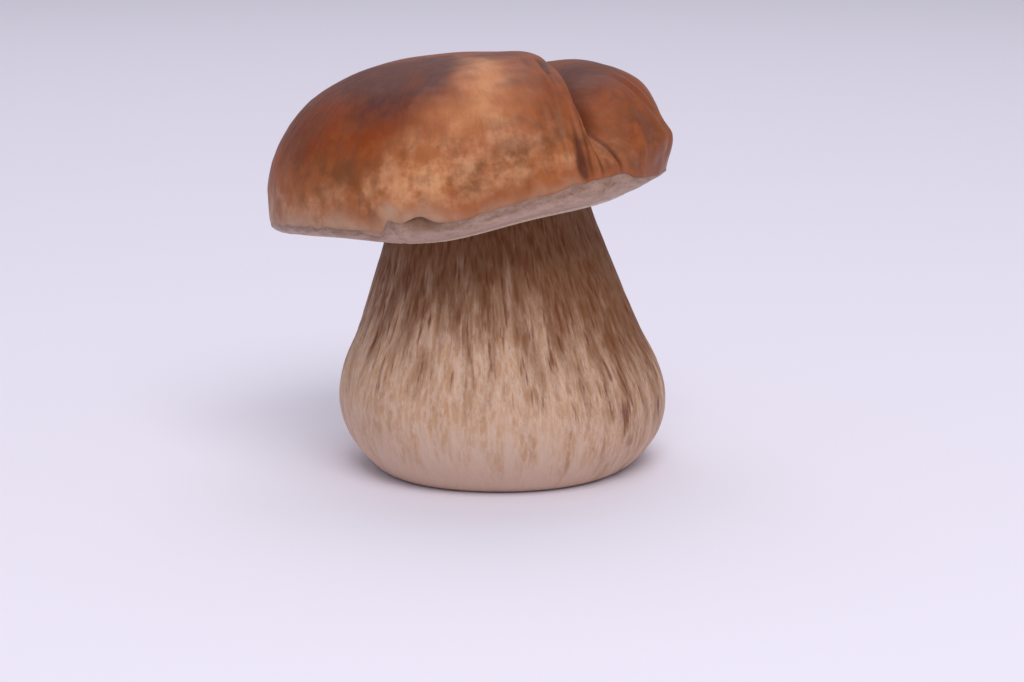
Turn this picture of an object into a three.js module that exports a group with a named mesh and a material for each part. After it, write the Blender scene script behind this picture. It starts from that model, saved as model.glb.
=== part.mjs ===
// A fresh porcini: a fat stem cut flat at the foot, a pale layer of pores round its top, and a brown cap with a
// fold in it. Millimetres, +Z up, the foot's cut face centred on the origin, the front facing -Y.
// Angles are in degrees about the upright axis, from the front (-Y) towards the right (+X).

import * as THREE from "three";

const COLUMNS = 96; // faces round each piece
const GAP = 0.3; // between the pieces, which grow together

// Cap, in a frame of its own whose XY plane is the rim's
const CAP_WIDTH = 109;
const CAP_DEPTH = 103;
const CAP_HEIGHT = 38.4; // from the rim's plane up to the crown
const CAP_SQUARENESS = 2.6; // 2 is an ellipse, and more gives fuller shoulders
const CAP_CENTRE = new THREE.Vector3(-6.7, 1, 71.5);
const CAP_LEANS_LEFT = 8.8;
const CAP_LEANS_BACK = 3;
const CAP_ROWS = 20;
const CAP_HEART = new THREE.Vector3(0, 0, 8); // swellings and the fold move the skin from or to this point
const CAP_LOBES = [
  { count: 3, out: 0.7, turn: -40 },
  { count: 5, out: 0.5, turn: 75 },
];
const FLESH_HEIGHT = 9; // height of the flesh above the rim's plane, over the pores and the stem
const FLESH_SLOPES_OVER = 12; // width of its slope, from the lip inwards
const FLESH_HUB = 6; // radius of its middle face

// The lip, where the skin turns in over the pores. Its points are counted in thicknesses, inwards and up.
const LIP_THICKNESS = 1.1;
const LIP_BOTTOM = new THREE.Vector2(0.4, -0.45);
const LIP_INSIDE = new THREE.Vector2(1, -0.4);
const LIP_ROOT = new THREE.Vector2(1.6, 0.3);

// Round the back the skin comes down further and tucks in. Each pair is angles between which that begins.
const BACK_BEGINS_RIGHT = [38, 72];
const BACK_BEGINS_LEFT = [104, 143];
const SKIN_TUCKS_IN = 2.2;
const SKIN_TUCKS_FROM = 0.88; // share of the way from the crown

// The fold runs over the cap's right side, from behind the crown to the front. Its left bank is the steep one.
const FOLD_BACK = new THREE.Vector2(20, 20);
const FOLD_FRONT = new THREE.Vector2(38, -44);
const FOLD_DEPTH = 12;
const FOLD_LEFT_BANK = 3.8;
const FOLD_RIGHT_BANK = 7.5;
const FOLD_DEEPENS = [-0.35, 0.7]; // shares of the way from its back to its front
const FOLD_FADES = [0.8, 1.15];
const FOLD_ABOVE_RIM = [6, 20]; // heights between which it comes up to its full depth

// Swellings of the cap: where each is highest, how far it spreads and how much it stands out
const SWELLINGS = [
  { at: new THREE.Vector3(55, -6, 6), spread: 13, out: 2.8 }, // the lobe right of the fold
  { at: new THREE.Vector3(49, 2, 26), spread: 8, out: 1.5 }, // the same lobe's shoulder
  { at: new THREE.Vector3(56, -2, 15), spread: 7, out: -1.6 }, // a dent between those two
  { at: new THREE.Vector3(-26, 0, 38), spread: 24, out: 2.4 }, // the crown's left
  { at: new THREE.Vector3(-9, 12, 38), spread: 16, out: 1.1 }, // the crown's back
  { at: new THREE.Vector3(-40, -14, 26), spread: 18, out: 0.6 }, // the left shoulder
  { at: new THREE.Vector3(-54, 0, 2), spread: 9, out: 0.6 }, // the left rim
  { at: new THREE.Vector3(-14, 40, 24), spread: 20, out: 1.4 }, // the back
];

// Pore layer
const BAND_AT_LEFT = 3.2; // height of its bare edge below the skin
const BAND_AT_FRONT = 5.2;
const BAND_AT_BACK = 1.6;
const BAND_STEP = -26; // the skin's edge steps up here
const BAND_STEP_SPREAD = 4;
const BAND_WAVES = [
  { at: -16, spread: 7, up: 2 },
  { at: -2, spread: 8, up: -0.8 },
  { at: 42, spread: 9, up: 1.1 },
];
const BAND_INSET = 0.5;
const RIM_DROOPS = [
  { at: -12, spread: 28, down: 4.2 },
  { at: 40, spread: 26, down: 1.7 },
];
const RIM_ROUNDING = 3.4; // from the bare edge to the pores
const PORE_ROWS = 11;
const PORE_DEPTH = 0.9;
const PORE_WALL_HEIGHT = 0.6; // share of that depth above the pores' mean surface
const PORE_BULGE = 3.2; // how far the pores bulge below the rim's plane
const PORES_END = 0.12; // share of their width over which the pores grow shallow at each edge
const MOAT_HEIGHT = 2.5; // the pores end this far above the rim's plane at the stem

// Stem: height and radius from the cut foot to the cap, as the outline goes
const STEM_OUTLINE = [
  [0, 34],
  [2, 37.2],
  [9, 42.3],
  [18, 44.3],
  [27, 42.7],
  [36, 38.6],
  [48, 33.8],
  [60, 29.4],
  [72, 26.2],
  [90, 25],
].map(([height, radius]) => new THREE.Vector2(radius, height));
const STEM_LEAN = new THREE.Vector2(-3.9, 1.2); // how far its middle has moved, right and back, at the cap
const STEM_HEIGHT = 78; // height at which that lean is reached
const STEM_LEAN_CURVE = 1.5;
const STEM_LOBES = [
  { count: 3, out: 0.5, turn: 50 },
  { count: 5, out: 0.3, turn: -150 },
];
const NET_ROWS = 20;
const NET_DEPTH = 1.4; // from the raised net to the middle of its meshes
const NET_STANDS_OUT = 0.4; // share of that depth outside the stem's mean surface
const NET_GROWS = [5, 40]; // heights above the foot
const NET_STOPS = [-7, -3.2]; // heights under the rim's plane

const { degToRad, smoothstep, lerp } = THREE.MathUtils;

// 1 at the centre, falling to nothing within about two widths.
const hill = (distance, width) => Math.exp(-((distance / width) ** 2));

// The turn from one angle to another, the short way round.
const turnFrom = (angle, centre) => ((angle - centre + 540) % 360) - 180;

// How far an outline with these lobes stands out at an angle.
const lobed = (lobes, angle) =>
  lobes.reduce((sum, { count, out, turn }) => sum + out * Math.cos(degToRad(count * angle + turn)), 0);

// The points between which faces alternate in height: a net's knots or the walls between pores.
const isKnot = (row, column) => (row + column) % 2 === 0;

// Turns a profile of this many rows round the upright axis and puts each point where place(row, angle, column) says.
// Faces are four-sided and split from their first corner, or from their second where crossed(row, column) is true.
function turnedBody(rows, place, crossed = () => false) {
  const profile = Array.from({ length: rows }, (_, row) => new THREE.Vector2(1, row));
  const geometry = new THREE.LatheGeometry(profile, COLUMNS);
  const position = geometry.getAttribute("position");
  for (let column = 0; column <= COLUMNS; column++) {
    for (let row = 0; row < rows; row++) {
      const turned = column % COLUMNS;
      const point = place(row, (360 * turned) / COLUMNS, turned);
      position.setXYZ(column * rows + row, point.x, point.y, point.z);
    }
  }
  const faces = [];
  for (let column = 0; column < COLUMNS; column++) {
    for (let row = 0; row < rows - 1; row++) {
      const first = column * rows + row;
      const second = first + rows;
      if (crossed(row, column)) faces.push(first, second, first + 1, second, second + 1, first + 1);
      else faces.push(first, second, second + 1, first, second + 1, first + 1);
    }
  }
  geometry.setIndex(faces);
  geometry.deleteAttribute("normal");
  geometry.deleteAttribute("uv");
  return geometry;
}

function named(name, geometry, colour, roughness) {
  const material = new THREE.MeshStandardMaterial({ color: colour, roughness, metalness: 0 });
  const mesh = new THREE.Mesh(geometry, material);
  mesh.name = name;
  return mesh;
}

function capRadius(angle) {
  const across = Math.sin(degToRad(angle));
  const along = Math.cos(degToRad(angle));
  return 0.5 * (CAP_WIDTH * across ** 2 + CAP_DEPTH * along ** 2) + lobed(CAP_LOBES, angle);
}

// 0 at the front and left, 1 round the back.
function backness(angle) {
  const turned = turnFrom(angle, 0);
  return smoothstep(Math.abs(turned), ...(turned > 0 ? BACK_BEGINS_RIGHT : BACK_BEGINS_LEFT));
}

const rimHeight = (angle) =>
  RIM_DROOPS.reduce((height, { at, spread, down }) => height - down * hill(turnFrom(angle, at), spread), 0);

function bandHeight(angle) {
  const stepped = smoothstep(turnFrom(angle, BAND_STEP), -BAND_STEP_SPREAD, BAND_STEP_SPREAD);
  const waved = BAND_WAVES.reduce((height, { at, spread, up }) => height + up * hill(turnFrom(angle, at), spread), 0);
  return lerp(lerp(BAND_AT_LEFT, BAND_AT_FRONT, stepped) + waved, BAND_AT_BACK, backness(angle));
}

// How far the fold takes the skin in at a point of it.
function foldDepth(point) {
  const run = FOLD_FRONT.clone().sub(FOLD_BACK);
  const from = new THREE.Vector2(point.x, point.y).sub(FOLD_BACK);
  const along = from.dot(run) / run.lengthSq();
  const side = run.cross(from) / run.length();
  const bank = side < 0 ? FOLD_LEFT_BANK : FOLD_RIGHT_BANK;
  const ends = smoothstep(along, ...FOLD_DEEPENS) * (1 - smoothstep(along, ...FOLD_FADES));
  return FOLD_DEPTH * hill(side, bank) * ends * smoothstep(point.z, ...FOLD_ABOVE_RIM);
}

const swelling = (point) =>
  SWELLINGS.reduce((sum, { at, spread, out }) => sum + out * hill(point.distanceTo(at), spread), 0);

// A point of the skin, by its angle and its share of the way from the crown to the edge.
function skinPoint(angle, share) {
  const band = bandHeight(angle);
  const polar = Math.acos((band / CAP_HEIGHT) ** (CAP_SQUARENESS / 2)) * share;
  const tucked = SKIN_TUCKS_IN * backness(angle) * smoothstep(share, SKIN_TUCKS_FROM, 1);
  const out = Math.sin(polar) ** (2 / CAP_SQUARENESS) * capRadius(angle) - tucked;
  const up = Math.cos(polar) ** (2 / CAP_SQUARENESS) * CAP_HEIGHT + rimHeight(angle) * Math.sin(polar) ** 4;
  const point = new THREE.Vector3(out * Math.sin(degToRad(angle)), -out * Math.cos(degToRad(angle)), up);
  const fromHeart = point.clone().sub(CAP_HEART).normalize();
  return point.addScaledVector(fromHeart, swelling(point) - foldDepth(point));
}

// A point some way in from the skin's edge, at a height above the rim's plane.
function inFromEdge(angle, inwards, height) {
  const edge = skinPoint(angle, 1);
  const kept = 1 - inwards / Math.hypot(edge.x, edge.y);
  return new THREE.Vector3(edge.x * kept, edge.y * kept, height);
}

// A point of the lip, moved in and down from it by some clearance.
function lipPoint(angle, place, inwards = 0, down = 0) {
  const height = skinPoint(angle, 1).z + place.y * LIP_THICKNESS - down;
  return inFromEdge(angle, place.x * LIP_THICKNESS + inwards, height);
}

// The lip and the flesh above the pores, from the skin's edge inwards.
function capUnderside(angle) {
  const edge = skinPoint(angle, 1);
  const reach = Math.hypot(edge.x, edge.y);
  return [
    lipPoint(angle, LIP_BOTTOM),
    lipPoint(angle, LIP_INSIDE),
    lipPoint(angle, LIP_ROOT),
    inFromEdge(angle, FLESH_SLOPES_OVER, FLESH_HEIGHT),
    inFromEdge(angle, reach - FLESH_HUB, FLESH_HEIGHT),
    new THREE.Vector3(0, 0, FLESH_HEIGHT),
  ];
}

function makeCap() {
  const underside = capUnderside(0).length;
  const rows = underside + CAP_ROWS + 1;
  const place = (row, angle) =>
    row < underside ? capUnderside(angle)[underside - 1 - row] : skinPoint(angle, (rows - 1 - row) / CAP_ROWS);
  return named("cap", turnedBody(rows, place), 0x8f5436, 0.4);
}

function stemRadius(height) {
  const outline = new THREE.SplineCurve(STEM_OUTLINE);
  let low = 0;
  let high = 1;
  while (high - low > 1e-6) {
    const middle = (low + high) / 2;
    if (outline.getPoint(middle).y < height) low = middle;
    else high = middle;
  }
  return outline.getPoint(low).x;
}

// A point of the stem's side, moved out from it by some clearance.
function stemPoint(angle, height, out = 0) {
  const radius = stemRadius(height) + lobed(STEM_LOBES, angle) + out;
  const lean = (height / STEM_HEIGHT) ** STEM_LEAN_CURVE;
  return new THREE.Vector3(
    radius * Math.sin(degToRad(angle)) + STEM_LEAN.x * lean,
    -radius * Math.cos(degToRad(angle)) + STEM_LEAN.y * lean,
    height,
  );
}

const capFrame = new THREE.Group();
capFrame.position.copy(CAP_CENTRE);
capFrame.rotation.set(degToRad(-CAP_LEANS_BACK), degToRad(-CAP_LEANS_LEFT), 0);
capFrame.updateMatrixWorld(true);

// Where the stem's side passes a height of the cap's frame. Each step corrects what the lean leaves.
function stemAtCap(angle, capHeight, out = 0) {
  const steps = 12;
  let height = CAP_CENTRE.z + capHeight;
  for (let step = 0; step < steps; step++) {
    height += capHeight - capFrame.worldToLocal(stemPoint(angle, height, out)).z;
  }
  return stemPoint(angle, height, out);
}

function makeStem() {
  const top = FLESH_HEIGHT - GAP;
  const rows = NET_ROWS + 3;
  const place = (row, angle, column) => {
    if (row === 0) return new THREE.Vector3(0, 0, 0);
    if (row === rows - 1) return capFrame.localToWorld(new THREE.Vector3(0, 0, top));
    const height = (stemAtCap(angle, top).z * (row - 1)) / NET_ROWS;
    const underCap = capFrame.worldToLocal(stemPoint(angle, height)).z;
    const netDepth = NET_DEPTH * smoothstep(height, ...NET_GROWS) * (1 - smoothstep(underCap, ...NET_STOPS));
    return stemPoint(angle, height, netDepth * (NET_STANDS_OUT - (isKnot(row, column) ? 0 : 1)));
  };
  return named("stem", turnedBody(rows, place, (row, column) => !isKnot(row, column)), 0xb59a7c, 0.75);
}

function makePoreLayer() {
  const roof = FLESH_HEIGHT - GAP;
  const stemSide = (angle, height) => capFrame.worldToLocal(stemAtCap(angle, height, GAP));
  const walls = PORE_ROWS + 2;

  // The bare edge up to the lip, and then under the flesh to the stem
  const edgeAndTop = (angle) => {
    const rim = rimHeight(angle);
    const top = lipPoint(angle, LIP_BOTTOM, 0, 2 * GAP).z;
    return [
      inFromEdge(angle, BAND_INSET + RIM_ROUNDING / 3, lerp(rim, top, 0.2)),
      inFromEdge(angle, BAND_INSET, lerp(rim, top, 0.5)),
      inFromEdge(angle, BAND_INSET, top),
      lipPoint(angle, LIP_INSIDE, 0, GAP),
      lipPoint(angle, LIP_ROOT, GAP, 1.5 * GAP),
      inFromEdge(angle, FLESH_SLOPES_OVER + GAP, roof),
      stemSide(angle, roof),
    ];
  };

  const place = (row, angle, column) => {
    if (row === 0) return stemSide(angle, roof);
    if (row >= walls) return edgeAndTop(angle)[row - walls];
    const share = (row - 1) / PORE_ROWS;
    const outermost = inFromEdge(angle, BAND_INSET + RIM_ROUNDING, rimHeight(angle));
    const point = stemSide(angle, MOAT_HEIGHT).lerp(outermost, share);
    const depth = PORE_DEPTH * smoothstep(share, 0, PORES_END) * (1 - smoothstep(share, 1 - PORES_END, 1));
    const wall = isKnot(row, column) ? 1 : 0;
    point.z += depth * (PORE_WALL_HEIGHT - wall) - PORE_BULGE * Math.sin(Math.PI * share ** 0.8);
    return point;
  };
  const crossed = (row, column) => row >= walls || !isKnot(row, column);
  const rows = walls + edgeAndTop(0).length;
  return named("pore_layer", turnedBody(rows, place, crossed), 0xc9b9a6, 0.7);
}

capFrame.add(makeCap(), makePoreLayer());

const mushroom = new THREE.Group();
mushroom.add(makeStem(), capFrame);

export default mushroom;
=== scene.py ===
import math

import bpy
from mathutils import Euler, Matrix, Vector, noise


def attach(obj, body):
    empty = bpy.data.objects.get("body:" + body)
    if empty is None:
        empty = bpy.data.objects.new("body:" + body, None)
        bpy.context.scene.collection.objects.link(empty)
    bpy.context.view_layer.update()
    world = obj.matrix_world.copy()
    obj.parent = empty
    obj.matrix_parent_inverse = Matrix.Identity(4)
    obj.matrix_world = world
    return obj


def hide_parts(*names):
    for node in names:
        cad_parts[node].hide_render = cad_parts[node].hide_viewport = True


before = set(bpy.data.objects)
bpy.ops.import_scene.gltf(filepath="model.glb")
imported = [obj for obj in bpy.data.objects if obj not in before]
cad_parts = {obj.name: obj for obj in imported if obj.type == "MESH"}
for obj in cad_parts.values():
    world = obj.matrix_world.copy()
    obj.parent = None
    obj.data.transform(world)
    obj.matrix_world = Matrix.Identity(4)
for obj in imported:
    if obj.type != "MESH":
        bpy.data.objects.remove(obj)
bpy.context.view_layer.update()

# A fresh porcini, made of its cap, its stem and the pore layer between them. Sizes are in millimetres in a piece's
# own formulas, and MM turns them into Blender's metres. Angles are in degrees, from the front towards the right.
MM = 0.001


# Cap
# Thick pale flesh under a brown skin, which is smooth, a little greasy and finely streaked from crown to rim. It
# grew lopsided, with a deep fold on the right whose end breaks up into soft wrinkles. At the rim the skin thins,
# pales and turns in as a narrow lip, and left of the front it stops short in a small step.

CAP_WIDTH = 109
CAP_DEPTH = 103
CAP_HEIGHT = 38.4
CAP_SQUARENESS = 2.6
CAP_CENTRE = Vector((-6.7, 1, 71.5))
CAP_LEANS_LEFT = 8.8
CAP_LEANS_BACK = 3
CAP_HEART = Vector((0, 0, 8))  # the relief rises away from here
CAP_LOBES = [(3, 0.7, -40), (5, 0.5, 75)]  # how many, how far out, and the turn of the first
FLESH_HEIGHT = 9
FLESH_SLOPES_OVER = 12
FLESH_HUB = 6
LIP = 0.35
LIP_TURNS_IN = 0.4 * LIP
LIP_HANGS = 0.45 * LIP
LIP_ENDS_IN = 3 * LIP

BACK_BEGINS_RIGHT = (38, 72)  # the angles at which the front gives way to the back
BACK_BEGINS_LEFT = (104, 143)
SKIN_TUCKS_IN = 2.2  # towards the stem at the back's edge
SKIN_TUCKS_FROM = 0.88
LOBE_ROUNDS_AT = 84  # the right lobe curves in below, round this angle
LOBE_ROUNDS_OVER = 24
LOBE_ROUNDS_IN = 1.6
LOBE_ROUNDS_FROM = 0.88

FOLD_BACK = Vector((20, 20))
FOLD_FRONT = Vector((38, -44))
FOLD_DEPTH = 12
FOLD_LEFT_BANK = 3.1
FOLD_RIGHT_BANK = 7.5
FOLD_STARTS = (-0.35, 0.7)  # shares of its length over which it deepens
FOLD_ENDS = (0.8, 1.15)
FOLD_FLATTENS = (6, 20)  # heights over which it deepens above the rim

SWELLINGS = [  # place, spread and height
    (Vector((55, -6, 6)), 13, 2.8),  # the lobe right of the fold
    (Vector((49, 2, 26)), 8, 1.5),  # the same lobe's shoulder
    (Vector((56, -2, 15)), 7, -1.6),  # a dent between those two
    (Vector((-26, 0, 38)), 24, 2.4),  # the crown's left
    (Vector((-9, 12, 38)), 16, 1.1),  # the crown's back
    (Vector((-40, -14, 26)), 18, 0.6),  # the left shoulder
    (Vector((-54, 0, 2)), 9, 0.6),  # the left rim
    (Vector((-14, 40, 24)), 20, 1.4),  # the back
]

BAND_AT_LEFT = 3.2
BAND_AT_FRONT = 5.2
BAND_AT_BACK = 1.6
BAND_STEP = -25.5  # the angle of the step in the skin's edge
BAND_STEP_SPREAD = 1.5
BAND_WAVES = [  # angle, spread and height
    (-24, 2, 1),
    (-15, 4.5, 1.6),
    (-2, 8, -0.8),
    (31, 3.5, 0.9),
    (42, 9, 1.1),
    (50, 5, 1.4),
]
EDGE_UNEVEN = 0.5
EDGE_WAVES_ROUND = 16  # how finely the unevenness goes round
RIM_DROOPS = [(-12, 28, 4.2), (40, 26, 1.7)]  # angle, spread and depth

cap_frame = Matrix.Translation(CAP_CENTRE) @ Euler(
    (math.radians(-CAP_LEANS_BACK), math.radians(-CAP_LEANS_LEFT), 0), "XYZ"
).to_matrix().to_4x4()
into_cap = cap_frame.inverted()


def sin(angle):
    return math.sin(math.radians(angle))


def cos(angle):
    return math.cos(math.radians(angle))


def mix(low, high, share):
    return low + (high - low) * share


def rise(value, low, high):
    share = min(1, max(0, (value - low) / (high - low)))
    return share * share * (3 - 2 * share)


def hill(distance, width):
    return math.exp(-((distance / width) ** 2))


def turn_from(angle, centre):
    return (angle - centre + 540) % 360 - 180


def lobed(lobes, angle):
    return sum(out * cos(count * angle + turn) for count, out, turn in lobes)


def cap_radius(angle):
    return 0.5 * (CAP_WIDTH * sin(angle) ** 2 + CAP_DEPTH * cos(angle) ** 2) + lobed(CAP_LOBES, angle)


def backness(angle):
    """0 at the front, where the photo shows the edge, and 1 at the back."""
    turned = turn_from(angle, 0)
    return rise(abs(turned), *(BACK_BEGINS_RIGHT if turned > 0 else BACK_BEGINS_LEFT))


def rim_height(angle):
    return -sum(down * hill(turn_from(angle, at), spread) for at, spread, down in RIM_DROOPS)


def band_height(angle):
    stepped = rise(turn_from(angle, BAND_STEP), -BAND_STEP_SPREAD, BAND_STEP_SPREAD)
    waved = sum(up * hill(turn_from(angle, at), spread) for at, spread, up in BAND_WAVES)
    waved += EDGE_UNEVEN * noise.noise(Vector((EDGE_WAVES_ROUND * sin(angle), EDGE_WAVES_ROUND * cos(angle), 0)))
    return mix(mix(BAND_AT_LEFT, BAND_AT_FRONT, stepped) + waved, BAND_AT_BACK, backness(angle))


def fold_place(point):
    """How far along the fold a point lies, as a share, and how far to its right."""
    run = FOLD_FRONT - FOLD_BACK
    away = point.xy - FOLD_BACK
    return away.dot(run) / run.length_squared, (run.x * away.y - run.y * away.x) / run.length


def fold_depth(point):
    along, side = fold_place(point)
    bank = FOLD_LEFT_BANK if side < 0 else FOLD_RIGHT_BANK
    ends = rise(along, *FOLD_STARTS) * (1 - rise(along, *FOLD_ENDS))
    return FOLD_DEPTH * hill(side, bank) * ends * rise(point.z, *FOLD_FLATTENS)


def even_skin(angle, share):
    """A point of the skin without fold, swellings and fine relief, by its share of the way from crown to edge."""
    band = band_height(angle)
    polar = math.acos((band / CAP_HEIGHT) ** (CAP_SQUARENESS / 2)) * share
    tucked = SKIN_TUCKS_IN * backness(angle) * rise(share, SKIN_TUCKS_FROM, 1)
    lowest = max(0, share - LOBE_ROUNDS_FROM) / (1 - LOBE_ROUNDS_FROM)
    tucked += LOBE_ROUNDS_IN * hill(turn_from(angle, LOBE_ROUNDS_AT), LOBE_ROUNDS_OVER) * lowest**2
    out = math.sin(polar) ** (2 / CAP_SQUARENESS) * cap_radius(angle) - tucked
    up = math.cos(polar) ** (2 / CAP_SQUARENESS) * CAP_HEIGHT + rim_height(angle) * math.sin(polar) ** 4
    return Vector((out * sin(angle), -out * cos(angle), up))


def smooth_skin(angle, share):
    """The even skin with its swellings and its fold."""
    point = even_skin(angle, share)
    swelling = sum(most * hill((point - at).length, spread) for at, spread, most in SWELLINGS)
    return point + (point - CAP_HEART).normalized() * (swelling - fold_depth(point))


RELIEF_INSET = 0.3  # keeps the relief's highest places inside the smooth skin
GRAIN_RADIUS = 34  # of the circle round which the streaks are spread
GRAIN_LENGTH = 9  # of a streak's noise from crown to edge
LUMP_HEIGHT = 0.36
LUMP_SIZE = 13
RIM_LUMP_HEIGHT = 0.26
RIM_LUMP_SIZE = 4.6
STREAK_HEIGHTS = (0.07, 0.04)
STREAK_FINENESS = (0.9, 2.2)
STREAKS_AT_LEFT = 2.2  # how many times as high
GROOVE_HEIGHT = 0.5
GROOVE_WIDTH = 4.5  # in degrees
WRINKLE_HEIGHT = 2.4
WRINKLE_WIDTH = 2.3
WRINKLES_LEFT_BY = 4  # of the fold's line
WRINKLES_SPREAD = 9
DENTS = [  # angle, share, how wide in degrees, how far in shares, and how deep
    (76, 0.66, 2.5, 0.13, 0.9),
    (68, 0.8, 3.5, 0.08, 0.6),
    (59, 0.6, 4, 0.1, 0.5),
    (-25.5, 0.96, 1.2, 0.04, 0.3),
]


def skin_grain(angle, share):
    """Where a point lies in the streaks that run from crown to rim."""
    return Vector((GRAIN_RADIUS * sin(angle), GRAIN_RADIUS * cos(angle), GRAIN_LENGTH * share))


def patched(patches, angle, share):
    """The sum of soft patches, each given by its angle, share, width, length and strength."""
    return sum(
        most * hill(turn_from(angle, at), wide) * hill(share - down, far) for at, down, wide, far, most in patches
    )


def wrinkle(point):
    """How high the wrinkles at the fold's end rise at a point of the even skin, below 0 in their furrows."""
    along, side = fold_place(point)
    strength = hill(side + WRINKLES_LEFT_BY, WRINKLES_SPREAD) * rise(along, 0.4, 0.7) * rise(point.z, 2, 8)
    return WRINKLE_HEIGHT * strength * noise.noise(Vector((side / WRINKLE_WIDTH, along * 4.5, 5)))


def skin_relief(angle, share, point):
    """The skin's lumps, streaks, grooves, dents and wrinkles, which fade out at the crown and at the edge."""
    near_rim = rise(share, 0.5, 0.95)
    lumps = LUMP_HEIGHT * noise.noise(point / LUMP_SIZE)
    lumps += RIM_LUMP_HEIGHT * near_rim * noise.noise(point / RIM_LUMP_SIZE + Vector((7, 0, 3)))
    grain = skin_grain(angle, share)
    left = mix(1, STREAKS_AT_LEFT, hill(turn_from(angle, -80), 55))
    streaks = sum(high * noise.noise(grain * fine) for high, fine in zip(STREAK_HEIGHTS, STREAK_FINENESS)) * left
    lobe = rise(point.x, 36, 48)
    grooves = GROOVE_HEIGHT * lobe * noise.noise(Vector((angle / GROOVE_WIDTH, share * 1.5, 9)))
    relief = lumps + streaks * rise(share, 0.04, 0.4) + grooves - patched(DENTS, angle, share)
    relief += wrinkle(even_skin(angle, share))
    return relief * rise(share, 0, 0.03) * (1 - 0.8 * rise(share, 0.93, 1))


def skin_point(angle, share):
    point = smooth_skin(angle, share)
    return point + (point - CAP_HEART).normalized() * (skin_relief(angle, share, point) - RELIEF_INSET)


def in_from_edge(angle, inwards, height):
    """A point this far inwards from the skin's edge, at this height above the rim."""
    edge = smooth_skin(angle, 1)
    kept = 1 - (inwards + RELIEF_INSET) / edge.xy.length
    return Vector((edge.x * kept, edge.y * kept, height))


def curve_through(points, share):
    """A point of the smooth curve through some points, by its share of their count."""
    place = min(max(share, 0), 1) * (len(points) - 1)
    here = min(int(place), len(points) - 2)
    before, start, end, after = (points[min(max(here + i, 0), len(points) - 1)] for i in (-1, 0, 1, 2))
    t = place - here
    leave = (end - before) * 0.5
    arrive = (after - start) * 0.5
    return (
        start
        + leave * t
        + (start * -3 + end * 3 - leave * 2 - arrive) * t**2
        + (start * 2 - end * 2 + leave + arrive) * t**3
    )


def cap_point(angle, along):
    """From the crown at 0 to the skin's edge at 1, and over the lip and the flesh to the middle at 2."""
    if along <= 1:
        return skin_point(angle, along)
    edge = skin_point(angle, 1)
    reach = smooth_skin(angle, 1).xy.length - RELIEF_INSET
    path = [
        edge,
        in_from_edge(angle, LIP_TURNS_IN, edge.z - LIP_HANGS),
        in_from_edge(angle, LIP, edge.z),
        in_from_edge(angle, LIP_ENDS_IN, edge.z + LIP_ENDS_IN),
        in_from_edge(angle, FLESH_SLOPES_OVER, FLESH_HEIGHT),
        in_from_edge(angle, reach - FLESH_HUB, FLESH_HEIGHT),
        Vector((0, 0, FLESH_HEIGHT)),
    ]
    steps = (along - 1) * (len(path) - 1)
    if steps < 3:
        return curve_through(path[:4], steps / 3)
    return path[int(steps)].lerp(path[min(int(steps) + 1, len(path) - 1)], steps % 1)


FINER_BY = 3  # subdivision levels
ON_RING = 0.01  # how far from a ring a vertex still belongs to it


def grow(name, columns, rings, closes_at=None):
    """Extrudes a circle from ring to ring, each given as (radius, height, along), and closes it.

    A ring of no radius is a pole. Without poles, the last ring is bridged to the first, where along is closes_at.
    The UV map keeps the way along, and a subdivision surface carries it to the finer mesh.
    """
    open_rings = [ring for ring in rings if ring[0] > 0]
    radius, height, _ = open_rings[0]
    bpy.ops.object.select_all(action="DESELECT")
    bpy.ops.mesh.primitive_circle_add(vertices=columns, radius=radius * MM, location=(0, 0, height * MM))
    piece = bpy.context.object
    piece.name = piece.data.name = name
    bpy.ops.object.transform_apply(location=True, rotation=True, scale=True)
    bpy.ops.object.mode_set(mode="EDIT")
    bpy.ops.mesh.select_all(action="SELECT")
    for (last_radius, last_height, _), (radius, height, _) in zip(open_rings, open_rings[1:]):
        up = (height - last_height) * MM
        bpy.ops.mesh.extrude_region_move(TRANSFORM_OT_translate={"value": (0, 0, up)})
        wider = radius / last_radius
        bpy.ops.transform.resize(value=(wider, wider, 1), center_override=(0, 0, height * MM))
    if closes_at is None:
        close_to_pole(open_rings[-1], rings[-1])
        select_rings(piece, open_rings[:1])
        close_to_pole(open_rings[0], rings[0])
    else:
        select_rings(piece, [open_rings[0], open_rings[-1]])
        bpy.ops.mesh.bridge_edge_loops()
    bpy.ops.object.mode_set(mode="OBJECT")
    keep_way_along(piece, rings, closes_at)
    finer = piece.modifiers.new("finer", "SUBSURF")
    finer.levels = finer.render_levels = FINER_BY
    finer.uv_smooth = "NONE"
    bpy.ops.object.modifier_apply(modifier=finer.name)
    return piece


def close_to_pole(ring, pole):
    bpy.ops.mesh.extrude_region_move(TRANSFORM_OT_translate={"value": (0, 0, (pole[1] - ring[1]) * MM)})
    bpy.ops.mesh.merge(type="CENTER")


def away_from_ring(vertex, ring):
    return math.hypot(vertex.co.xy.length / MM - ring[0], vertex.co.z / MM - ring[1])


def select_rings(piece, wanted):
    bpy.ops.object.mode_set(mode="OBJECT")
    mesh = piece.data
    for vertex in mesh.vertices:
        vertex.select = any(away_from_ring(vertex, ring) < ON_RING for ring in wanted)
    for part in [*mesh.edges, *mesh.polygons]:
        part.select = all(mesh.vertices[corner].select for corner in part.vertices)
    bpy.ops.object.mode_set(mode="EDIT")


def keep_way_along(piece, rings, closes_at):
    """Writes the way along of each vertex's ring into the UV map."""
    mesh = piece.data
    numbers = [min(range(len(rings)), key=lambda i: away_from_ring(vertex, rings[i])) for vertex in mesh.vertices]
    while mesh.uv_layers:
        mesh.uv_layers.remove(mesh.uv_layers[0])
    layer = mesh.uv_layers.new(name="growth")
    for face in mesh.polygons:
        closing = {numbers[corner] for corner in face.vertices} == {0, len(rings) - 1}
        for loop in face.loop_indices:
            number = numbers[mesh.loops[loop].vertex_index]
            layer.data[loop].uv.y = closes_at if closing and number == 0 else rings[number][2]


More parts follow.
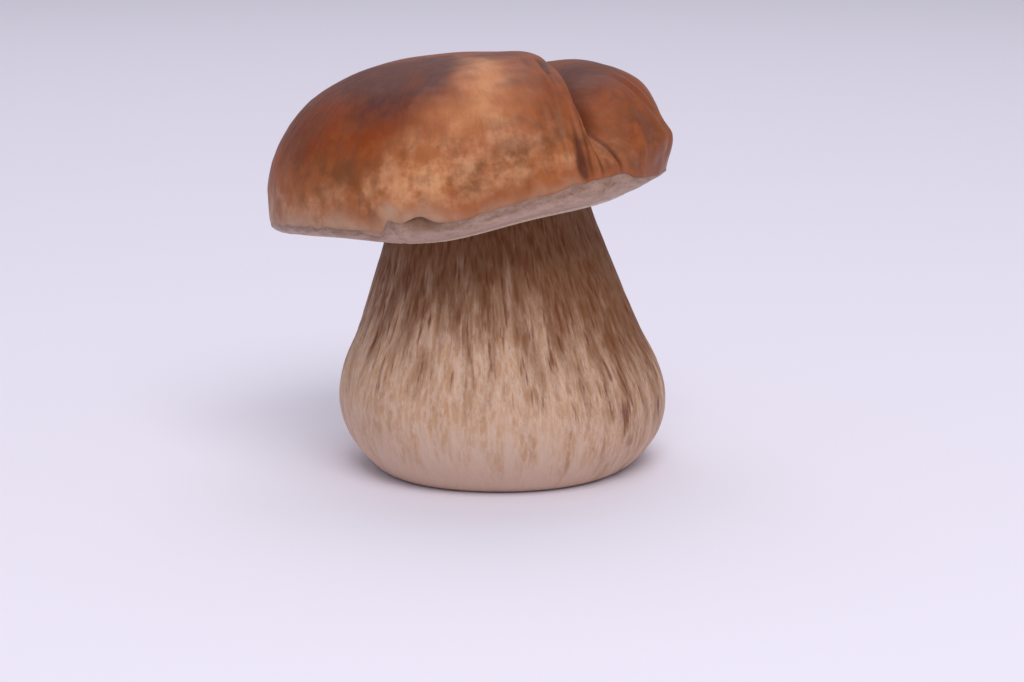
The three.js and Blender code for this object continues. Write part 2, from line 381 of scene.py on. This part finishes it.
def shape(piece, place):
    """Moves every vertex to the place of its angle and its way along the piece, and returns those two for each."""
    mesh = piece.data
    way = [0.0] * len(mesh.vertices)
    for loop in mesh.loops:
        way[loop.vertex_index] = mesh.uv_layers["growth"].data[loop.index].uv.y
    angles = [math.degrees(math.atan2(vertex.co.x, -vertex.co.y)) % 360 for vertex in mesh.vertices]
    ways = list(zip(angles, way))
    for vertex, (angle, along) in zip(mesh.vertices, ways):
        vertex.co = place(angle, along) * MM
    bpy.ops.object.mode_set(mode="EDIT")
    bpy.ops.mesh.select_all(action="SELECT")
    bpy.ops.mesh.normals_make_consistent(inside=False)
    bpy.ops.object.mode_set(mode="OBJECT")
    bpy.ops.object.shade_smooth()
    return ways


def keep_numbers(piece, name, values):
    piece.data.attributes.new(name, "FLOAT", "POINT").data.foreach_set("value", values)


def keep_places(piece, name, places):
    attribute = piece.data.attributes.new(name, "FLOAT_VECTOR", "POINT")
    attribute.data.foreach_set("vector", [number for place in places for number in place])


DOME_TURN = 1.49  # from crown to edge, in radians


def dome_ring(share):
    polar = share * DOME_TURN
    radius = math.sin(polar) ** (2 / CAP_SQUARENESS) * CAP_WIDTH / 2
    return radius, math.cos(polar) ** (2 / CAP_SQUARENESS) * CAP_HEIGHT, share


CAP_COLUMNS = 64
CAP_ROWS = 15
cap_rings = [dome_ring(row / CAP_ROWS) for row in range(CAP_ROWS + 1)]
rim_radius, rim_top, _ = cap_rings[-1]
cap_rings += [
    (rim_radius - LIP_TURNS_IN, rim_top - LIP_HANGS, 1 + 1 / 6),
    (rim_radius - LIP, rim_top, 1 + 2 / 6),
    (rim_radius - LIP_ENDS_IN, rim_top + LIP_ENDS_IN, 1 + 3 / 6),
    (rim_radius - FLESH_SLOPES_OVER, FLESH_HEIGHT, 1 + 4 / 6),
    (FLESH_HUB, FLESH_HEIGHT, 1 + 5 / 6),
    (0, FLESH_HEIGHT, 2),
]
cap = grow("cap_flesh_and_skin", CAP_COLUMNS, cap_rings)
cap_ways = shape(cap, lambda angle, along: cap_frame @ cap_point(angle, along))

# Where the skin's colours lie: angle, share, how wide in degrees, how far in shares, and how strong
PLUM_PLACES = [
    (-50, 0.22, 40, 0.2, 1.4),
    (-24, 0.32, 17, 0.2, 1.3),
    (-6, 0.16, 26, 0.1, 0.9),
    (-72, 0.62, 12, 0.22, 0.6),
    (40, 0.1, 60, 0.1, 0.6),
    (78, 0.45, 26, 0.18, 1.0),
    (66, 0.86, 9, 0.1, 0.6),
    (150, 0.3, 50, 0.2, 0.8),
    (-140, 0.36, 45, 0.22, 0.8),
]
RUST_PLACES = [
    (-46, 0.56, 22, 0.15, 1.0),
    (-31, 0.66, 6, 0.07, 0.8),
    (-62, 0.62, 15, 0.14, 0.8),
    (-47, 0.38, 9, 0.05, 0.7),
    (-27, 0.95, 4, 0.06, 0.7),
    (33, 0.42, 7, 0.12, 0.4),
    (72, 0.72, 14, 0.14, 0.7),
    (165, 0.62, 30, 0.16, 0.8),
    (110, 0.66, 18, 0.16, 0.6),
    (-120, 0.6, 30, 0.18, 0.8),
]
# Tan places: the first five run down the front from crown to rim, where they are partly the skin's paler tan and
# partly a painted highlight; the rest are tan skin near the rim.
TAN_AND_HIGHLIGHT_PLACES = [
    (18, 0.22, 11, 0.14, 0.7),
    (14, 0.42, 10, 0.14, 0.7),
    (5, 0.6, 11, 0.13, 0.7),
    (-4, 0.74, 12, 0.1, 0.6),
    (-14, 0.86, 13, 0.11, 1.1),
    (-50, 0.93, 24, 0.1, 0.7),
    (14, 0.88, 13, 0.1, 0.6),
    (34, 0.86, 12, 0.1, 0.5),
    (-155, 0.78, 22, 0.12, 0.7),
    (100, 0.82, 14, 0.1, 0.4),
]
DARK_PLACES = [
    (9, 0.86, 11, 0.06, 0.9),
    (28, 0.76, 12, 0.09, 0.9),
    (42, 0.88, 8, 0.06, 0.7),
    (-44, 0.78, 16, 0.08, 0.8),
    (-26.5, 0.93, 4, 0.06, 0.9),
    (78, 0.8, 20, 0.12, 0.6),
    (-150, 0.85, 30, 0.08, 0.6),
]
PALE_PLACES = [
    (-62, 1.02, 34, 0.08, 1.1),
    (-35, 1.02, 10, 0.04, 0.6),
    (-21, 1.0, 4, 0.08, 1.1),
    (-12, 1.02, 9, 0.04, 0.7),
    (4, 1.02, 12, 0.035, 0.5),
    (28, 1.02, 14, 0.03, 0.5),
    (180, 1.02, 80, 0.04, 0.7),
]


COLOURS_SHIFT_WIDELY = (9, 0.06)  # in degrees and in shares
COLOURS_SHIFT_FINELY = (4, 0.025)
NOISE_SEED = 7
noise.seed_set(NOISE_SEED)  # unseeded, noise_vector takes its offsets from the clock


def uneven(angle, share, point):
    """The same place moved a little, which gives the colours uneven edges."""
    wide = noise.noise_vector(point / 10)
    fine = noise.noise_vector(point / 3.2 + Vector((9, 9, 9)))
    turned = angle + COLOURS_SHIFT_WIDELY[0] * wide.x + COLOURS_SHIFT_FINELY[0] * fine.x
    return turned, share + COLOURS_SHIFT_WIDELY[1] * wide.y + COLOURS_SHIFT_FINELY[1] * fine.y


cap_points = [into_cap @ (vertex.co / MM) for vertex in cap.data.vertices]
cap_spots = [uneven(angle, min(along, 1), point) for (angle, along), point in zip(cap_ways, cap_points)]
for colour_name, places in [
    ("plum", PLUM_PLACES),
    ("rust", RUST_PLACES),
    ("tan_and_highlight", TAN_AND_HIGHLIGHT_PLACES),
    ("dark", DARK_PLACES),
    ("pale", PALE_PLACES),
]:
    keep_numbers(cap, colour_name, [min(1, patched(places, *spot)) for spot in cap_spots])
even_points = [even_skin(angle, min(along, 1)) for angle, along in cap_ways]
keep_numbers(cap, "furrow", [max(0, -wrinkle(point)) for point in even_points])
keep_numbers(cap, "fold", [fold_depth(point) / FOLD_DEPTH for point in even_points])
keep_numbers(cap, "along", [along for _, along in cap_ways])
keep_places(cap, "grain", [skin_grain(angle, min(along, 1)) for angle, along in cap_ways])


class Nodes:
    """A material's nodes, added one by one and linked as they are made."""

    def __init__(self, name):
        self.material = bpy.data.materials.new(name)
        self.material.use_nodes = True
        self.tree = self.material.node_tree
        self.shader = self.tree.nodes["Principled BSDF"]

    def add(self, kind, inputs=(), **settings):
        node = self.tree.nodes.new("ShaderNode" + kind)
        for name, value in settings.items():
            setattr(node, name, value)
        for name, value in dict(inputs).items():
            self.feed(node.inputs[name], value)
        return node

    def feed(self, socket, value):
        if isinstance(value, bpy.types.NodeSocket):
            self.tree.links.new(value, socket)
        else:
            socket.default_value = value

    def number(self, name):
        return self.add("Attribute", attribute_name=name).outputs["Fac"]

    def place(self, name):
        return self.add("Attribute", attribute_name=name).outputs["Vector"]

    def noise(self, where, scale, detail=3, roughness=0.55):
        inputs = {"Vector": where, "Scale": scale, "Detail": detail, "Roughness": roughness}
        return self.add("TexNoise", inputs).outputs["Fac"]

    def span(self, value, low, high, to_low=0.0, to_high=1.0):
        inputs = {"Value": value, "From Min": low, "From Max": high, "To Min": to_low, "To Max": to_high}
        return self.add("MapRange", inputs, interpolation_type="SMOOTHSTEP").outputs["Result"]

    def blend(self, share, first, second):
        node = self.add("Mix", data_type="RGBA")
        self.feed(node.inputs[0], share)
        self.feed(node.inputs[6], first)
        self.feed(node.inputs[7], second)
        return node.outputs[2]

    def times(self, first, second):
        return self.add("Math", {0: first, 1: second}, operation="MULTIPLY").outputs[0]

    def plus(self, first, second):
        return self.add("Math", {0: first, 1: second}, operation="ADD").outputs[0]

    def scaled(self, where, *by):
        return self.add("VectorMath", {0: where, 1: by}, operation="MULTIPLY").outputs["Vector"]

    def bump(self, height, distance, strength=1.0):
        return self.add("Bump", {"Height": height, "Distance": distance, "Strength": strength}).outputs["Normal"]


def colour(red, green, blue):
    """A colour as a shader wants it, from the 0 to 255 of a paint chart."""
    def linear(value):
        value /= 255
        return value / 12.92 if value <= 0.04045 else ((value + 0.055) / 1.055) ** 2.4

    return (linear(red), linear(green), linear(blue), 1)


CHESTNUT = colour(148, 78, 44)
PLUM = colour(78, 27, 23)
SMOKE = colour(104, 58, 38)
RUST = colour(132, 54, 10)
TAN = colour(202, 138, 96)
SIENNA = colour(156, 86, 42)
UMBER = colour(116, 66, 34)
SAND = colour(210, 158, 118)
# Painted shade for the fold's floor and for the furrows between the wrinkles at its end.
FOLD_AND_FURROW_SHADE = colour(74, 28, 14)
RIM_BEIGE = colour(180, 142, 118)
FLESH = colour(222, 204, 184)

skin = Nodes("cap_skin")
where = skin.add("TexCoord").outputs["Object"]
grain = skin.place("grain")
along = skin.number("along")
cloud = skin.noise(where, 60, 4)
blotch = skin.noise(where, 150, 4, 0.62)
mottle = skin.noise(where, 230, 4, 0.58)
streak = skin.noise(grain, 1.5, 5, 0.65)
near_rim = skin.span(along, 0.5, 0.85, 0.25, 1)
# The tan share, which also guides the sand near the rim, is partly a painted highlight down the front.
tan_and_highlight_share = skin.number("tan_and_highlight")
ground = skin.blend(skin.number("rust"), CHESTNUT, RUST)
ground = skin.blend(skin.span(cloud, 0.42, 0.7, 0, 0.35), ground, RUST)
ground = skin.blend(skin.span(skin.noise(where, 110, 4, 0.6), 0.45, 0.66, 0, 0.6), ground, SMOKE)
ground = skin.blend(skin.number("plum"), ground, PLUM)
ground = skin.blend(tan_and_highlight_share, ground, TAN)
ground = skin.blend(skin.times(near_rim, skin.span(blotch, 0.44, 0.64, 0, 0.75)), ground, SIENNA)
sandy = skin.times(skin.times(near_rim, skin.plus(tan_and_highlight_share, 0.15)), skin.span(blotch, 0.54, 0.3, 0, 0.65))
ground = skin.blend(sandy, ground, SAND)
ground = skin.blend(skin.times(near_rim, skin.span(mottle, 0.46, 0.7, 0, 0.5)), ground, UMBER)
ground = skin.blend(skin.times(skin.number("dark"), skin.span(mottle, 0.36, 0.6, 0.15, 0.9)), ground, UMBER)
ground = skin.blend(skin.span(streak, 0.45, 0.75, 0, 0.22), ground, UMBER)
# Painted shade, deepest along the fold's floor and in the wrinkles' furrows.
ground = skin.blend(skin.span(skin.number("fold"), 0.4, 1, 0, 0.85), ground, FOLD_AND_FURROW_SHADE)
ground = skin.blend(skin.span(skin.number("furrow"), 0.05, 0.7, 0, 0.8), ground, FOLD_AND_FURROW_SHADE)
ground = skin.blend(skin.times(skin.number("pale"), skin.span(mottle, 0.3, 0.65, 1, 0.7)), ground, RIM_BEIGE)
ground = skin.blend(skin.span(along, 1.1, 1.3), ground, FLESH)
skin.feed(skin.shader.inputs["Base Color"], ground)
skin.feed(skin.shader.inputs["Roughness"], skin.span(blotch, 0.3, 0.7, 0.4, 0.52))
skin.shader.inputs["Specular IOR Level"].default_value = 0.18
skin.shader.inputs["Subsurface Weight"].default_value = 0.06
skin.shader.inputs["Subsurface Radius"].default_value = (1.0, 0.4, 0.2)
skin.shader.inputs["Subsurface Scale"].default_value = 2 * MM
skin.shader.inputs["Sheen Weight"].default_value = 0.03
skin.shader.inputs["Sheen Roughness"].default_value = 0.3
skin.shader.inputs["Sheen Tint"].default_value = (0.85, 0.8, 1, 1)
fine = skin.plus(streak, skin.times(skin.noise(where, 900, 3), 0.5))
skin.feed(skin.shader.inputs["Normal"], skin.bump(fine, 0.12 * MM, 0.5))
cap.data.materials.clear()
cap.data.materials.append(skin.material)

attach(cap, "root")
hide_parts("cap")


# Stem
# One stout club of firm white flesh, browner above and darkened there by painted shade under the cap. A fine raised
# net of pale fibres stretches up its sides as it grows, over a brown ground. It was picked by hand and its foot
# trimmed flat with a knife.

STEM_OUTLINE = [
    Vector((34, 0)),
    Vector((37.2, 2)),
    Vector((42.3, 9)),
    Vector((44.3, 18)),
    Vector((42.7, 27)),
    Vector((38.6, 36)),
    Vector((33.8, 48)),
    Vector((29.4, 60)),
    Vector((26.2, 72)),
    Vector((25, 90)),
]
STEM_LEAN = Vector((-3.9, 1.2, 0))
STEM_HEIGHT = 78
STEM_LEAN_CURVE = 1.5
STEM_LOBES = [(3, 0.5, 50), (5, 0.3, -150)]
GAP = 0.3  # between the pieces where they are hidden
NET_WIDTH = 1.6
NET_LENGTH = 6.5
NET_RELIEF = 0.36
NET_BENDS = 1.1  # how many strand widths its meshes are pushed about
STRAND_FADES = (0.08, 0.55)
NET_GROWS = (6, 42)  # heights over which it reaches its full relief
NET_SINKS = 0.8  # share of the relief that lies below the smooth side
PLEAT_HEIGHT = 0.14
STEM_MIDDLE = 36  # radius at which the net has its width

OUTLINE_STEPS = 400
outline_points = [curve_through(STEM_OUTLINE, step / OUTLINE_STEPS) for step in range(OUTLINE_STEPS + 1)]


def stem_radius(height):
    low, high = 0, OUTLINE_STEPS
    while high - low > 1:
        middle = (low + high) // 2
        if outline_points[middle].y < height:
            low = middle
        else:
            high = middle
    below, above = outline_points[low], outline_points[high]
    return mix(below.x, above.x, (height - below.y) / (above.y - below.y))


def stem_point(angle, height, out=0.0):
    radius = stem_radius(height) + lobed(STEM_LOBES, angle) + out
    return Vector((radius * sin(angle), -radius * cos(angle), height)) + STEM_LEAN * (
        (height / STEM_HEIGHT) ** STEM_LEAN_CURVE
    )


def stem_at_cap(angle, cap_height, out=0.0):
    """Where the stem's side reaches a height in the leaning cap, found by a few steps."""
    height = CAP_CENTRE.z + cap_height
    for _ in range(8):
        height += cap_height - (into_cap @ stem_point(angle, height, out)).z
    return stem_point(angle, height, out)


def stem_grain(angle, height):
    """Where a point lies in the stem's upright fibres, which keep their number as the stem widens."""
    return Vector((STEM_MIDDLE * sin(angle), STEM_MIDDLE * cos(angle), height))


def net_strength(angle, height):
    """How much a point belongs to the raised net: 1 on a strand and 0 in the middle of a mesh."""
    grain = stem_grain(angle, height)
    bend = noise.noise_vector(Vector((grain.x / 6, grain.y / 6, height / 14))) * NET_BENDS
    place = Vector((grain.x / NET_WIDTH + bend.x, grain.y / NET_WIDTH + bend.y, height / NET_LENGTH + 0.5 * bend.z))
    nearest, second = noise.voronoi(place)[0][:2]
    return 1 - rise(second - nearest, *STRAND_FADES)


STEM_TOP = FLESH_HEIGHT - GAP
tops = {}


def stem_top(angle):
    key = round(angle, 3)
    if key not in tops:
        tops[key] = stem_at_cap(angle, STEM_TOP).z
    return tops[key]


def stem_side(angle, height):
    """The side with its net, which grows out above the foot, its fine pleats and its broad lumps."""
    relief = NET_RELIEF * rise(height, *NET_GROWS) * (net_strength(angle, height) - NET_SINKS)
    grain = stem_grain(angle, height)
    pleats = PLEAT_HEIGHT * noise.noise(Vector((grain.x, grain.y, height / 30))) * rise(height, 1, 8)
    lumps = 0.5 * noise.noise(Vector((grain.x / 16, grain.y / 16, height / 22))) * rise(height, 2, 14)
    covered = rise((into_cap @ stem_point(angle, height)).z, -1, 2)
    return stem_point(angle, height, (relief + pleats + lumps) * (1 - covered))


def stem_place(angle, along):
    """The foot's middle is at -1, its edge at 0, the side's top inside the cap at 1 and its middle at 2."""
    if along < 0:
        return stem_point(angle, 0) * (1 + along)
    if along > 1:
        top = stem_point(angle, stem_top(angle))
        return top.lerp(cap_frame @ Vector((0, 0, STEM_TOP)), along - 1)
    return stem_side(angle, stem_top(angle) * along)


STEM_COLUMNS = 75
STEM_ROWS = 14
FOOT_INSIDE = 0.18  # share of the way in from the foot's edge to the ring inside it
stem_reach = CAP_CENTRE.z + STEM_TOP
foot_radius = stem_radius(0)
stem_rings = [(0, 0, -1), (foot_radius * (1 - FOOT_INSIDE), 0, -FOOT_INSIDE)]
stem_rings += [
    (stem_radius(stem_reach * row / STEM_ROWS), stem_reach * row / STEM_ROWS, row / STEM_ROWS)
    for row in range(STEM_ROWS + 1)
]
stem_rings.append((0, stem_reach, 2))
stem = grow("stem_with_net", STEM_COLUMNS, stem_rings)
stem_ways = shape(stem, stem_place)
heights = [vertex.co.z / MM for vertex in stem.data.vertices]
keep_numbers(stem, "net", [net_strength(angle, height) for (angle, _), height in zip(stem_ways, heights)])
keep_numbers(stem, "along", [along for _, along in stem_ways])
keep_places(stem, "grain", [stem_grain(angle, height) for (angle, _), height in zip(stem_ways, heights)])

GROUND_BROWN = colour(114, 68, 32)
GROUND_OCHRE = colour(192, 150, 118)
SPINDLE_RED = colour(104, 44, 12)
# The net's colour high up, partly painted shade under the cap.
NET_SHADED_ABOVE = colour(138, 99, 74)
NET_BELOW = colour(212, 184, 168)
CREAM = colour(212, 182, 164)
KNIFE_CUT = colour(232, 216, 190)

fibre = Nodes("stem_flesh")
grain = fibre.place("grain")
across = fibre.add("SeparateXYZ", {"Vector": grain})
# The level rises upwards and to the right. Upwards it stands partly for browner flesh and partly for painted shade
# under the cap, which darkens the ground and the strands there.
browned_and_shaded = fibre.plus(across.outputs["Z"], fibre.span(across.outputs["X"], 4, 32, 0, 14))  # upwards and to the right
stretched = fibre.scaled(grain, 1, 1, 0.22)
level = fibre.plus(browned_and_shaded, fibre.span(fibre.noise(stretched, 0.3, 4), 0.25, 0.75, -12, 12))
darkens = fibre.span(level, 22, 62)
strands = fibre.noise(stretched, 1.5, 6, 0.68)
hairs = fibre.noise(fibre.scaled(grain, 1, 1, 0.3), 3.2, 5, 0.7)
spindles = fibre.noise(fibre.scaled(grain, 1, 1, 0.16), 0.8, 3, 0.5)
ground = fibre.blend(darkens, GROUND_OCHRE, GROUND_BROWN)
strand_colour = fibre.blend(darkens, NET_BELOW, NET_SHADED_ABOVE)
netted = fibre.times(fibre.span(fibre.number("net"), 0.2, 0.85, 0.2, 0.8), fibre.span(strands, 0.35, 0.62, 1, 0.25))
ground = fibre.blend(netted, ground, strand_colour)
haired = fibre.times(fibre.span(hairs, 0.48, 0.7, 0, 0.4), fibre.span(level, 8, 45, 0.4, 1))
ground = fibre.blend(haired, ground, GROUND_BROWN)
reddened = fibre.times(fibre.span(spindles, 0.53, 0.68, 0, 0.75), fibre.span(level, 14, 40))
ground = fibre.blend(reddened, ground, SPINDLE_RED)
ground = fibre.blend(fibre.span(level, 22, 4, 0, 0.75), ground, CREAM)
along = fibre.number("along")
ground = fibre.blend(fibre.span(along, -0.03, 0.004, 1, 0), ground, KNIFE_CUT)
fibre.feed(fibre.shader.inputs["Base Color"], ground)
fibre.shader.inputs["Roughness"].default_value = 0.62
fibre.shader.inputs["Specular IOR Level"].default_value = 0.3
fibre.shader.inputs["Subsurface Weight"].default_value = 0.08
fibre.shader.inputs["Subsurface Radius"].default_value = (1.0, 0.6, 0.4)
fibre.shader.inputs["Subsurface Scale"].default_value = 2 * MM
fibre.feed(fibre.shader.inputs["Normal"], fibre.bump(strands, 0.15 * MM, 0.7))
stem.data.materials.clear()
stem.data.materials.append(fibre.material)

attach(stem, "root")
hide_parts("stem")


# Pore layer
# A spongy cushion of fine upright tubes, grown fast to the cap's flesh. Their mouths make the pored underside, and
# the outermost ones show from the side as a smooth pale band under the skin's edge, with a small torn hollow in it.

BAND_INSET = 0.12
BAND_TOP_BELOW = 0.1  # the skin's edge
BAND_GRAIN_RADIUS = 50
BAND_GRAIN_HEIGHT = 6
RIM_ROUNDING = 3.4
PORE_BULGE = 3.2
MOAT_HEIGHT = 2.5  # of the dip round the stem, above the rim
PORE_PITCH = 1.5
PORE_DEPTH = 0.7
HOLLOW_ANGLE = -14.5
HOLLOW_WIDTH = 4.5
HOLLOW_DEPTH = 0.9
HOLLOW_CLIMB = 0.72  # share of the way up the band
HOLLOW_CLIMB_SPREAD = 0.24


def pore_wall(point):
    """1 on the wall between two pores and 0 in the mouth of one."""
    nearest, second = noise.voronoi(Vector((point.x / PORE_PITCH, point.y / PORE_PITCH, 0.5)))[0][:2]
    return 1 - rise(second - nearest, 0.05, 0.5)


def hollow(angle, climb):
    """How deep a point of the band lies in its torn hollow, from 0 outside."""
    torn = 0.5 * noise.noise(Vector((angle / 2, climb * 3, 2)))
    up = hill(climb - HOLLOW_CLIMB, HOLLOW_CLIMB_SPREAD)
    return max(0, hill(turn_from(angle, HOLLOW_ANGLE), HOLLOW_WIDTH) * up * (1 + torn))


stem_walls = {}


def stem_wall(angle, height):
    """Just inside the stem's side, where the pores meet it."""
    key = round(angle, 3), height
    if key not in stem_walls:
        stem_walls[key] = into_cap @ stem_at_cap(angle, height, -GAP)
    return stem_walls[key].copy()


def pore_point(angle, share):
    outermost = in_from_edge(angle, BAND_INSET + RIM_ROUNDING, rim_height(angle))
    point = stem_wall(angle, MOAT_HEIGHT).lerp(outermost, share)
    point.z -= PORE_BULGE * math.sin(math.pi * share**0.8)
    edges = rise(share, 0, 0.1) * (1 - rise(share, 0.9, 1))
    point.z += PORE_DEPTH * edges * (0.4 - pore_wall(point))
    return point


def band_point(angle, climb):
    """The bare edge, from the outermost pores at 0 up to the inside of the lip at 1."""
    rim = rim_height(angle)
    top = smooth_skin(angle, 1).z - BAND_TOP_BELOW
    path = [
        in_from_edge(angle, BAND_INSET + RIM_ROUNDING, rim),
        in_from_edge(angle, BAND_INSET + RIM_ROUNDING / 3, mix(rim, top, 0.15)),
        in_from_edge(angle, BAND_INSET, mix(rim, top, 0.55)),
        in_from_edge(angle, BAND_INSET, top),
        in_from_edge(angle, BAND_INSET + LIP, top + LIP),
    ]
    point = curve_through(path, climb)
    inward = Vector((-point.x, -point.y, 0)).normalized()
    waves = noise.noise(Vector((angle / 3, climb * 1.2, 1))) + noise.noise(Vector((angle / 11, 0, 4)))
    pleats = noise.noise(Vector((angle / 9 + climb, climb * 5, 7)))
    uneven_by = (0.15 + 0.16 * waves + 0.3 * pleats) * math.sin(math.pi * min(1, climb * 1.3))
    return point + inward * (HOLLOW_DEPTH * hollow(angle, climb) + uneven_by)


def pore_place(angle, along):
    """Pores from the stem at 0 to the rim at 1, the bare edge to 2, the top to 3 and the wall at the stem to 4."""
    if along <= 1:
        return pore_point(angle, along)
    if along <= 2:
        return band_point(angle, along - 1)
    roof = FLESH_HEIGHT - GAP
    if along <= 3:
        path = [
            band_point(angle, 1),
            in_from_edge(angle, LIP_ENDS_IN + GAP, smooth_skin(angle, 1).z + LIP_ENDS_IN - GAP),
            in_from_edge(angle, FLESH_SLOPES_OVER + GAP, roof),
            stem_wall(angle, roof),
        ]
        steps = (along - 2) * 3
        start = min(int(steps), 2)
        return path[start].lerp(path[start + 1], steps - start)
    return stem_wall(angle, roof).lerp(pore_point(angle, 0), along - 3)


PORE_COLUMNS = 80
PORE_RINGS = 9
inner_radius = stem_radius(CAP_CENTRE.z)
outer_radius = rim_radius - BAND_INSET - RIM_ROUNDING
pore_rings = []
for ring in range(PORE_RINGS + 1):
    share = ring / PORE_RINGS
    pore_rings.append((mix(inner_radius, outer_radius, share), -PORE_BULGE * sin(180 * share), share))
pore_rings += [
    (rim_radius - BAND_INSET - 0.8, 0.7, 1.34),
    (rim_radius - BAND_INSET, 3, 1.67),
    (rim_radius - BAND_INSET - LIP, 5, 2),
    (rim_radius - LIP_ENDS_IN - GAP, 6, 2.34),
    (rim_radius - FLESH_SLOPES_OVER, FLESH_HEIGHT, 2.67),
    (inner_radius, FLESH_HEIGHT, 3),
]
pores = grow("pore_layer_with_pores", PORE_COLUMNS, pore_rings, closes_at=4)
pore_ways = shape(pores, lambda angle, along: cap_frame @ pore_place(angle, along))
pore_points = [into_cap @ (vertex.co / MM) for vertex in pores.data.vertices]
keep_numbers(pores, "wall", [pore_wall(point) for point in pore_points])
keep_numbers(pores, "along", [along for _, along in pore_ways])
keep_numbers(pores, "hollow", [hollow(angle, along - 1) for angle, along in pore_ways])
band_grain = [
    Vector((BAND_GRAIN_RADIUS * sin(angle), BAND_GRAIN_RADIUS * cos(angle), BAND_GRAIN_HEIGHT * along))
    for angle, along in pore_ways
]
keep_places(pores, "grain", band_grain)

PORE_PALE = colour(206, 186, 166)
PORE_MOUTH_SHADE = colour(150, 122, 92)
BAND_PALE = colour(178, 147, 134)
BAND_GREY = colour(140, 109, 94)
BAND_SMEAR = colour(114, 84, 66)
HOLLOW_BROWN = colour(124, 88, 64)

tubes = Nodes("pores")
where = tubes.add("TexCoord").outputs["Object"]
along = tubes.number("along")
# Painted shade makes the pore mouths darker than the walls between them.
pored = tubes.blend(tubes.span(tubes.number("wall"), 0.1, 0.8), PORE_MOUTH_SHADE, PORE_PALE)
smear = tubes.noise(tubes.scaled(tubes.place("grain"), 0.22, 0.22, 1), 1, 4, 0.6)
grit = tubes.noise(tubes.scaled(tubes.place("grain"), 0.7, 0.7, 2), 1, 4, 0.65)
greys = tubes.plus(tubes.span(smear, 0.3, 0.7, -0.4, 0.4), tubes.span(along, 1.2, 1.7, -0.1, 0.8))
band = tubes.blend(greys, BAND_PALE, BAND_GREY)
band = tubes.blend(tubes.times(tubes.span(grit, 0.5, 0.72, 0, 0.8), tubes.span(along, 1.25, 1.6)), band, BAND_SMEAR)
ground = tubes.blend(tubes.span(along, 0.97, 1.1), pored, band)
ground = tubes.blend(tubes.span(tubes.number("hollow"), 0.05, 0.7, 0, 0.9), ground, HOLLOW_BROWN)
tubes.feed(tubes.shader.inputs["Base Color"], ground)
tubes.shader.inputs["Roughness"].default_value = 0.5
tubes.shader.inputs["Specular IOR Level"].default_value = 0.4
tubes.shader.inputs["Subsurface Weight"].default_value = 0.2
tubes.shader.inputs["Subsurface Radius"].default_value = (1.0, 0.7, 0.5)
tubes.shader.inputs["Subsurface Scale"].default_value = 3 * MM
tubes.feed(tubes.shader.inputs["Normal"], tubes.bump(tubes.noise(where, 700, 3), 0.1 * MM, 0.5))
pores.data.materials.clear()
pores.data.materials.append(tubes.material)

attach(pores, "root")
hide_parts("pore_layer")


# Floor, light and camera
# A plain pale floor that fills the view, soft light from a large lamp above the camera and from all round, and a
# long lens looking a little down on the mushroom from its front.

VIEW_DOWN = 12
VIEW_DISTANCE = 656 * MM
VIEW_CENTRE = Vector((2.7, 0, 33)) * MM
LENS = 85
FLOOR_SIZE = 14

bpy.ops.object.select_all(action="DESELECT")
bpy.ops.mesh.primitive_plane_add(size=FLOOR_SIZE)
floor = bpy.context.object
floor.name = "floor"
backdrop = Nodes("floor")
backdrop.shader.inputs["Base Color"].default_value = colour(232, 229, 246)
backdrop.shader.inputs["Roughness"].default_value = 0.8
floor.data.materials.append(backdrop.material)


def soft_lamp(name, azimuth, elevation, distance, size, watts, tint):
    """A square lamp that faces the mushroom from this far away."""
    place = Vector((sin(azimuth) * cos(elevation), -cos(azimuth) * cos(elevation), sin(elevation))) * distance
    bpy.ops.object.light_add(type="AREA", location=place + VIEW_CENTRE)
    lamp = bpy.context.object
    lamp.name = name
    lamp.rotation_mode = "QUATERNION"
    lamp.rotation_quaternion = place.to_track_quat("Z", "Y")
    lamp.data.size = size
    lamp.data.energy = watts
    lamp.data.color = tint


soft_lamp("key_lamp", 14, 52, 1.6, 1.0, 14, (1, 0.97, 0.93))
soft_lamp("back_lamp", 186, 62, 2.2, 2.0, 14, (1, 0.98, 1))

world = bpy.data.worlds.new("studio")
world.use_nodes = True
world.node_tree.nodes["Background"].inputs["Color"].default_value = (0.97, 0.96, 1, 1)
world.node_tree.nodes["Background"].inputs["Strength"].default_value = 0.46
bpy.context.scene.world = world
bpy.context.scene.view_settings.view_transform = "Standard"

back = Vector((0, -cos(VIEW_DOWN), sin(VIEW_DOWN)))
bpy.ops.object.camera_add(location=VIEW_CENTRE + back * VIEW_DISTANCE)
camera = bpy.context.object
camera.name = "camera"
camera.rotation_mode = "QUATERNION"
camera.rotation_quaternion = back.to_track_quat("Z", "Y")
camera.data.lens = LENS
camera.data.clip_start = 0.01
bpy.context.scene.camera = camera
